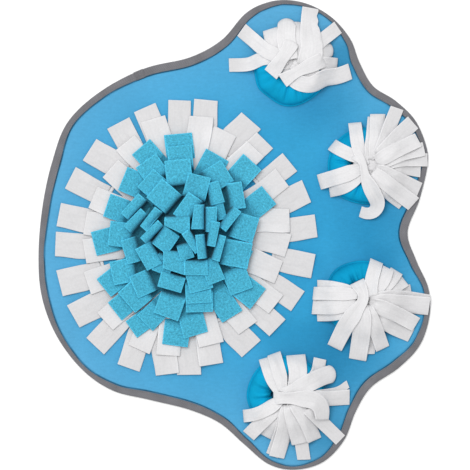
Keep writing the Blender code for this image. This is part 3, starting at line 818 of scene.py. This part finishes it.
def layRibbon(root, tip, leave, arrive, widths, heights, sizes, chance, look):
    # one ribbon from its sewn root to its free tip, settled on the pile
    length = np.linalg.norm(tip - root)
    tipBorder, sideBorder = look["border"]
    t = stations(look["rows"], tipBorder, length)
    pull = look["pull"] * length
    points, along = cubic(root, tip, leave * pull, arrive * pull, t[:, None])
    along = unitRows(along)
    half = unevenHalf(np.interp(t, (0, look["fullFrom"]), widths) / 2, t, chance, look)
    lanes = lanePlaces(look["lanes"], sideBorder, widths[1])
    shift = ramp(t, 0.5, 1)[:, None] * lanes * (chance.uniform(-1, 1) * look["slant"])
    xy = spreadLanes(points, along, half, lanes, shift)
    camber = look["camber"] * chance.uniform(0.3, 1) * (1 - lanes ** 2) * np.sin(math.pi * t)[:, None]
    curl = look["curl"] * chance.uniform(-0.2, 1) * ramp(t, 0.6, 1)[:, None] ** 2
    lean = chance.uniform(-1, 1) * look["lean"] * t[:, None] * lanes
    fold = look["fold"] * chance.uniform(-0.4, 1) * hump(t - chance.uniform(0.5, 0.8), look["foldHalf"])[:, None]
    natural = heights(t)[:, None] + camber + curl + lean + fold
    natural[0] = heights(0)
    height = settleRibbon(natural, xy, sizes["thickness"], t < look["held"], look["passes"])
    return layOnPile(xy, height, sizes["thickness"])


def makeRing(ring, sizes, look, seed):
    chance = np.random.RandomState(seed)
    centre = np.array(sizes["centre"], dtype=float)
    radius = ring["root"]
    pitch = 360 / len(ring["petals"])
    rootWidth = ring.get("share", sizes["rootShare"]) * math.radians(pitch) * radius
    roots = []
    for bearing, reach, turn, width in ring["petals"]:
        back = unit(bearing) * reach - unit(bearing + turn) * (reach - radius)
        roots.append(math.degrees(math.atan2(back[1], back[0])) % 360)
    sewn = list(zip(spreadAngles(roots, sizes["rootPitch"] * pitch), ring["petals"]))
    middle = sewnOn + sizes["thickness"] / 2

    def heights(t):
        return middle + ring["rise"] * (1 - (1 - t) ** 2 - sizes["droop"] * t ** 3)

    pieces = [makeBand(radius, sizes["band"], middle)]
    for angle, (bearing, reach, turn, width) in sewn[::2] + sewn[1::2]:
        root, tip = centre + unit(angle) * (radius - 1), centre + unit(bearing) * reach
        pieces.append(gridPiece(layRibbon(root, tip, unit(angle), unit(bearing + turn), (rootWidth, width), heights,
                                          sizes, chance, look)))
    for reach in np.arange(radius - sizes["band"], radius + 1):
        coverPile(ringPlaces(centre, reach, np.arange(360)), sewnOn + sizes["thickness"])
    return finishRing(ring, pieces, whiteFleece)


def easePeaks(height, xy, look, axis):
    # nothing rises above its neighbours, along the rows or across them, by more than the slope
    height, xy = np.swapaxes(height, 0, axis), np.swapaxes(xy, 0, axis)
    rise = np.linalg.norm(np.diff(xy, axis=0), axis=2) * look["slope"]
    for _ in range(look["easing"]):
        height[1:] = np.minimum(height[1:], height[:-1] + rise)
        height[:-1] = np.minimum(height[:-1], height[1:] + rise)
    return np.swapaxes(height, 0, axis)


def layTile(bend, tip, width, shape, top, run, sizes, chance, look):
    # a petal that leaves its band flat, stands up and then bends outwards over those below
    depth = np.linalg.norm(tip - bend)
    ahead = (tip - bend) / depth
    side = np.array((-ahead[1], ahead[0]))
    low = sizes["firstHeight"] + sizes["thickness"]
    foot = run + shape["ramp"]
    end = foot + max(depth, look["shortest"])
    drop = sizes["droopTip"] * chance.uniform(0.3, 1.6) * min(depth / 25, 1)
    section = [(0, low), (run, low), (foot, low * 0.8 + top * 0.2), (foot + 2, top - 6), (foot + 5, top - 0.8),
               (foot + 10, top), (end, top - drop)]
    points, _, places = smoothPath(section, look["rows"])
    out = points[:, 0]
    lanes = lanePlaces(look["lanes"], look["border"], width)
    half = unevenHalf(width / 2, places / places[-1], chance, look)
    flat = smoothStep(out, foot + 2, foot + 10)[:, None]
    shift = flat * lanes * (shape["slant"] + chance.uniform(-1, 1) * look["slant"])
    xy = tip + ahead * ((out - end)[:, None] + shift)[..., None] + side * (half[:, None] * lanes)[..., None]
    natural = points[:, 1:] + flat * (look["camber"] * chance.uniform(-0.5, 1) * (1 - lanes ** 2)
                                      + look["tilt"] * chance.uniform(-1, 1) * lanes)
    height = settleRibbon(natural, xy, sizes["thickness"], out < foot, look["passes"], look["clearance"])
    height = easePeaks(height, xy, look, 1)
    first = np.argmax(out > foot + 4)
    height[first:] = easePeaks(height[first:], xy[first:], look, 0)
    height[:first] = np.minimum(height[:first], height[first])
    return layOnPile(xy, height, sizes["thickness"], out > foot)


def makeTealRing(ring, sizes, look, seed):
    chance = np.random.RandomState(seed)
    pieces = [makeBand(ring["root"], ring["band"], sizes["firstHeight"])]
    for width, *knots in ring["petals"]:
        shape = dict(slant=0, ramp=look["ramp"])
        shape.update(knots.pop() if isinstance(knots[-1], dict) else {})
        bend, tip = (seenAt(*knot) for knot in knots)
        top = ring["top"] + sizes["tipSpread"] * chance.uniform(-1, 1)
        pieces.append(gridPiece(layTile(bend, tip, width * photo["mmPerPixel"], shape, top, ring["run"], sizes,
                                        chance, look)))
    # each teal ring gets painted shade below its own top
    finish = fleeceFinish("tealFleece", tealFleeceLook, [ring["top"] - below for below in sizes["paintedShadeBelow"]])
    return finishRing(ring, pieces, finish)


def coverTape():
    points, inward, shown = outlineCurve(12)
    for inset in np.arange(0, tapeSizes["width"] + 1):
        coverPile((points + inward * inset)[shown >= inset - 1], tapeSizes["height"] + 0.1)


coverTape()
petalPieces = [makeRing(ring, flowerSizes, petalLook, 20 + i) for i, ring in enumerate(petalRings)]
petalPieces += [makeTealRing(ring, flowerSizes, tealLook, 30 + i) for i, ring in enumerate(tealRings)]

# Gathered pouches: a hem that is sewn down, a dome and a pleated mouth. Section: radius, height, pleat depth.
toeCentres = [(73.5, 217), (168, 88), (164, -82), (66, -203.5)]
pouchSizes = dict(
    thickness=1.2, steps=200, pleats=(17, 23, 31), mouthPleats=10, mouthFrom=(32, 23), bulgeFrom=(28, 44),
    lowest=0.9,
    section=[
        (49, 0.9, 0), (48.2, 2.2, 0), (46.6, 2.7, 0), (45.4, 1.2, 0.05), (45.3, 2.2, 0.1), (46.0, 4.5, 0.2),
        (46.4, 7, 0.3), (45.8, 10, 0.45), (44.5, 13, 0.6), (42, 16.2, 0.8), (38.5, 19, 1.0), (34.5, 20.8, 1.3),
        (30.5, 21.3, 1.7), (27, 20.3, 2.1), (24.3, 18.3, 2.4), (22, 15.5, 2.5), (19.5, 12.5, 2.3),
    ],
)
pouchFolds = [  # for each pouch: bearing, half width in degrees, depth, and the radii between which it runs
    [(238, 4, 2.4, 26, 46), (259, 3.5, 2.2, 26, 47), (217, 4, 2.4, 24, 44), (281, 4, 2.0, 26, 46)],
    [(230, 4, 2.4, 26, 46), (172, 3.5, 2.8, 22, 44), (250, 4, 2.0, 24, 44), (150, 4, 2.0, 24, 44)],
    [(119, 5, 6.0, 20, 37), (100, 5, 2.5, 22, 36), (140, 6, 2.0, 26, 44), (160, 5, 2.0, 24, 42)],
    [(170, 6, 6.5, 18, 42), (190, 6, 4.0, 20, 44), (152, 5, 2.5, 22, 42), (208, 6, 2.5, 26, 44)],
]
pouchBulges = [  # where a pouch reaches further out: bearing, half width in degrees, millimetres
    [(262, 28, 4.5), (215, 14, 3)], [(225, 20, 2)], [(135, 20, 2.5)], [(185, 18, 1.5)],
]


def makePouch(number, centre, sizes, folds, bulges):
    angles = np.linspace(0, 360, sizes["steps"], endpoint=False)
    gathers = wander(sizes["steps"], 40 + number, sizes["pleats"])
    mouth = np.cos(np.radians(angles * sizes["mouthPleats"]) + 0.6 * wander(sizes["steps"], 50 + number, (2, 3)))

    def near(bearing, half):
        return hump((angles - bearing + 180) % 360 - 180, half)

    rows = []
    for radius, height, depth in sizes["section"]:
        inner = ramp(radius, *sizes["mouthFrom"])
        wave = depth * (gathers * (1 - inner * 0.6) + mouth * inner)
        low = sum(fold * ramp(radius, inside - 6, inside) * ramp(radius, outside, outside - 6) * near(bearing, half)
                  for bearing, half, fold, inside, outside in folds)
        swell = sum(more * ramp(radius, *sizes["bulgeFrom"]) * near(bearing, half) for bearing, half, more in bulges)
        heights = sewnOn + np.maximum(height + wave - low, sizes["lowest"])
        rows.append(atHeight(ringPlaces(centre, radius + wave * 0.4 - low * 0.3 + swell, angles), heights))
    grid = closeRound(np.array(rows))
    pouch = gridPiece(grid[::-1], joined=True)
    pouch.name = f"pouch_{number}_gathered"
    turnOutwards(pouch)
    thicken(pouch, sizes["thickness"])
    fine = resample(grid, 90, 720)
    coverPile(fine[..., :2], fine[..., 2] + sizes["thickness"] / 2)
    return pouch


# Tassel strips, the lowest first: width, then the places on the photograph from the knot to the tip, all in
# its pixels. The strips of the last rows cross over the knot.
tasselSizes = dict(
    thickness=1.8, knotHeight=25, knotRise=8, lowest=4.4, reach=62, gatherReach=26, gatherWidth=0.66, foldDepth=1.5,
    looseRadius=15, topStrips=4, fillerWidth=15, fillerReach=13,
    head=[(6.5, sewnOn), (6.3, 12), (6.5, 17), (8, 20), (9, 22.5), (8.5, 24.5), (6, 26), (3, 26.8), (0.02, 27)],
)
stripLook = dict(rows=19, lanes=9, border=1.3, uneven=0.04, slant=1.2, camber=2.0, lean=0.8, crease=1.1, passes=20)
tasselStrips = [
    [(13.5, (288, 60), (264, 59), (249, 64.5), (229, 65.3)), (14.5, (284, 60), (274, 47), (270, 29.5)),
     (14.5, (290, 61), (267, 52), (253, 40), (241.5, 30)), (14, (303, 57), (318, 53), (333, 50), dict(round=0.6)),
     (13, (303, 63), (322, 64), (337, 64.7)), (13.5, (302, 62), (318, 44), (338, 27.5)),
     (17, (292, 64), (304, 72), (316, 78)),
     (16, (290, 78), (299, 83.5), (311, 85), (324, 78.5), (338, 76), (350, 71.5), dict(loop=3)),
     (12, (297.5, 22), (297, 38), (296, 60)), (18.5, (288, 18.5), (286, 33), (287, 47), (292, 60), dict(fold=0.9)),
     (21, (304, 68), (311, 50), (309.5, 34), (309.3, 20), (310.2, 8),
      dict(ragged=2.2, widths=(1, 1.05, 1, 0.8, 0.76))),
     (15.5, (293, 40), (288, 50), (280, 62), (270.5, 75), dict(fold=0.7)),
     (15, (325, 59), (315, 64), (299, 71.5), (282.3, 81.5))],
    [(13, (364, 172), (346, 186), (329.5, 191)), (15.8, (368, 166), (345, 174.5), (319, 182.3)),
     (13, (366, 163), (350, 155), (339, 149.5), (331.8, 144.8)), (13.5, (365, 166), (358, 148), (354.6, 123)),
     (13, (369, 160), (371.5, 140), (374, 117.5)), (15, (374, 160), (376, 140), (377.6, 114.3)),
     (13.5, (378, 156), (387, 133), (397, 108)), (13, (378, 167), (400, 168), (420.5, 171)),
     (13.5, (380, 165), (402, 160), (427.3, 160)), (14, (379, 164), (402, 154), (424, 149)),
     (16, (378, 158), (393, 142), (403, 132), (413, 122.5)), (15, (375, 162), (396, 150.5), (418, 140)),
     (12, (373, 178), (388, 193), (402.5, 204.5)), (17, (374, 170), (396, 180), (419, 191)),
     (16, (372, 172), (392, 188), (413.5, 204)),
     (14.5, (355, 154), (362, 163), (365, 178), (372, 192), (377.5, 203), (374.5, 211.5), (367, 213.8),
      (360.3, 211.5), dict(widths=(0.95, 0.7, 0.85, 1.1, 1.1, 0.9, 0.72)))],
    [(13, (356, 293), (336, 288), (317.5, 286.5)), (14, (354, 308), (336, 313), (317, 314.5)),
     (13, (374, 300), (396, 294), (411, 290.5)), (13, (373, 298), (392, 288), (404.5, 280.5)),
     (14, (372, 297), (388, 282), (396.5, 271)), (12, (371, 296), (383, 281), (388, 268.3)),
     (15, (372, 299), (399, 297.5), (428.5, 302)), (18, (368, 302), (400, 303.5), (429, 306)),
     (14.5, (368, 306), (388, 324), (411, 335.5)), (15.5, (370, 303), (392, 312), (416, 324.5)),
     (13, (366, 310), (370, 335), (368, 354)), (14.5, (366, 306), (375, 328), (382.6, 348.6)),
     (18, (362, 304), (361, 332), (357.5, 359.6)), (14.5, (356, 301), (336, 306.5), (312.5, 307)),
     (13.2, (358, 294), (337, 293.5), (313.3, 293.2)), (13.5, (372, 297), (371, 281), (376.5, 261)),
     (16.5, (356.5, 281), (363, 297), (355, 311), (345, 326), (334.5, 347.5))],
    [(14, (284, 402), (274, 420), (265, 436)), (14.5, (283, 400), (263, 420.5), (248.5, 435.5)),
     (13, (286, 404), (281, 430), (272, 455.5)), (15, (287, 404), (284, 430), (276.5, 457)),
     (13, (282, 398), (267, 408.5), (254, 414), (243.5, 416)), (13.5, (291, 400), (299, 430), (304, 459.6)),
     (18.5, (290, 402), (296, 424), (301, 443)), (14.5, (292, 400), (305, 419), (314.5, 440)),
     (8, (312, 394), (336, 391), (348, 384)), (15.2, (306, 398), (330, 398), (349.5, 397)),
     (13, (302, 388), (316, 374), (320, 358.5)), (14, (280, 394), (271.5, 376), (265.5, 358)),
     (14, (284, 393), (279, 372), (273.8, 353.6)), (18.5, (291, 394), (297.5, 376), (295.6, 355)),
     (17.5, (280, 394), (303, 385), (320, 377), (335.5, 372.5), dict(round=0.8, loop=6)),
     (13.2, (306, 406), (323, 423), (340.5, 440)),
     (17.5, (273, 397), (297, 397.5), (313, 399.5), (320.5, 407), (322, 419), dict(widths=(1, 1, 1, 1, 0.72)))],
]


def makeHead(centre, section):
    # the wound and tied middle of a tassel
    angles = np.linspace(0, 360, 48, endpoint=False)
    rows = []
    for radius, height in section:
        wave = 1 + 0.02 * np.cos(np.radians(angles * 8)) * min(radius / 6, 1)
        rows.append(atHeight(ringPlaces(centre, radius * wave, angles), height))
    return gridPiece(closeRound(np.array(rows))[::-1], joined=True)


def layStrip(knots, width, shape, index, count, centre, sizes, chance, look):
    # one strip, gathered in folds where it nears the knot, high there and falling to the mat
    points, along, places = smoothPath([seenAt(*knot) for knot in knots], look["rows"])
    t = places / places[-1]
    gathered = 1 - smoothStep(np.linalg.norm(points - centre, axis=1), 6, sizes["gatherReach"])
    full = width * photo["mmPerPixel"] / 2
    half = unevenHalf(full * (1 - (1 - sizes["gatherWidth"]) * gathered), t, chance, look, 7, 1)
    widths = shape.get("widths", (1, 1))
    half = half * np.interp(t, np.linspace(0, 1, len(widths)), widths)
    lanes = lanePlaces(look["lanes"], look["border"], width)
    shift = ramp(t, 0.6, 1)[:, None] * lanes * (chance.uniform(-1, 1) * look["slant"])
    arc = full * (1 - np.sqrt(1 - 0.96 * lanes ** 2))  # how far an end that is folded or rounded draws in
    shift += shape.get("fold", 0) * arc * ramp(t, 0.25, 0)[:, None]
    shift -= shape.get("round", 0) * arc * ramp(t, 0.75, 1)[:, None]
    xy = spreadLanes(points, along, half, lanes, shift)
    ragged = shape.get("ragged", 0) * chance.uniform(-1, 1, len(t))
    xy += leftOf(along)[:, None, :] * (ragged[:, None] * (lanes < -0.8))[..., None]
    reach = np.linalg.norm(xy - centre, axis=2)
    top = sizes["knotHeight"] + sizes["knotRise"] * index / count
    natural = sizes["lowest"] + (top - sizes["lowest"]) * (1 - smoothStep(reach, 4, sizes["reach"]))
    t, gathered = t[:, None], gathered[:, None]
    folds = np.cos(lanes * math.pi * chance.choice((1.5, 2, 2.5)) + chance.uniform(0, 6.3))
    natural += shape.get("gather", sizes["foldDepth"]) * gathered * folds
    natural += look["camber"] * chance.uniform(-0.3, 1) * (1 - lanes ** 2) * (1 - gathered)
    crease = np.cos(lanes * math.pi * chance.choice((0.9, 1.3, 1.8)) + chance.uniform(0, 6.3))
    natural += look["crease"] * chance.uniform(0.2, 1) * (1 - 0.6 * t ** 2) * crease
    natural += look["lean"] * chance.uniform(-1, 1) * lanes * t
    natural += shape.get("loop", 0) * hump(places[-1] - places - 9, 8)[:, None]
    loose = reach < (0 if index >= count - sizes["topStrips"] else sizes["looseRadius"])
    loose[0] = True
    return layOnPile(xy, settleRibbon(natural, xy, sizes["thickness"], loose, look["passes"]), sizes["thickness"])


def makeTassel(number, centre, rows, sizes, look):
    # strips laid one by one, over four short ones across the pouch's mouth
    chance = np.random.RandomState(60 + number)
    (middleX, middleY), scale = photo["middle"], photo["mmPerPixel"]
    x, y = centre[0] / scale + middleX, middleY - centre[1] / scale
    far = sizes["fillerReach"]
    fillers = [(sizes["fillerWidth"], *((x + dx * reach, y + dy * reach) for reach in (-far, 0, far)), dict(gather=0))
               for dx, dy in ((0.7, 0.7), (0.7, -0.7), (0, 1), (1, 0))]
    rows = fillers + rows
    pieces = []
    for index, (width, *knots) in enumerate(rows):
        shape = knots.pop() if isinstance(knots[-1], dict) else {}
        pieces.append(gridPiece(layStrip(knots, width, shape, index, len(rows), centre, sizes, chance, look)))
    strips = joinPieces(pieces, f"tassel_{number}_tied")
    thicken(strips, sizes["thickness"])
    head = makeHead(centre, sizes["head"])
    turnOutwards(head)
    bpy.ops.object.shade_smooth()
    tassel = joinPieces([strips, head], f"tassel_{number}_tied")
    dress(tassel, whiteFleece, [f"tassel_{number}"])
    print("stage: tassel", number, len(tassel.data.polygons), "faces")
    return tassel


cyanCloth = pouchFinish()
for number, (centre, folds, bulges, rows) in enumerate(zip(toeCentres, pouchFolds, pouchBulges, tasselStrips), 1):
    pouch = makePouch(number, centre, pouchSizes, folds, bulges)
    dress(pouch, cyanCloth, [f"pouch_{number}"])
    makeTassel(number, centre, rows, tasselSizes, stripLook)

# a pale floor and soft light, mostly from the upper left
studio = dict(floor=40, colour=(0.93, 0.93, 0.93), roughness=0.9, shine=0.1, glow=0.1, sky=0.66,
              lamp=(-0.65, 0.9, 3.45), lampSize=2.0, power=83)


def setStudio(look):
    deselectAll()
    bpy.ops.mesh.primitive_plane_add(size=look["floor"], location=(0, 0, 0))
    floor = bpy.context.object
    floor.name = "floor"
    white, colour = (1, 1, 1, 1), look["colour"]
    finish, shader, places = startFinish("paleFloor", look)
    tone = blendColours(noise(places["Object"], 3), tint(colour, 0.995), tint(colour, 1.005))
    feed(shader, {"Base Color": tone, "Emission Color": white, "Emission Strength": look["glow"]})
    floor.data.materials.append(finish)
    world = bpy.data.worlds.new("softSky")
    bpy.context.scene.world = world
    world.use_nodes = True
    feed(world.node_tree.nodes["Background"], {"Color": white, "Strength": look["sky"]})
    x, y, z = look["lamp"]
    bpy.ops.object.light_add(type="AREA", location=(x, y, z))
    lamp = bpy.context.object
    lamp.data.energy = look["power"]
    lamp.data.size = look["lampSize"]
    lamp.visible_camera = False
    lamp.rotation_euler = (math.atan2(math.hypot(x, y), z), 0, math.atan2(y, x) + math.pi / 2)
    bpy.context.scene.view_settings.view_transform = "Standard"


setStudio(studio)
print("stage: studio set")
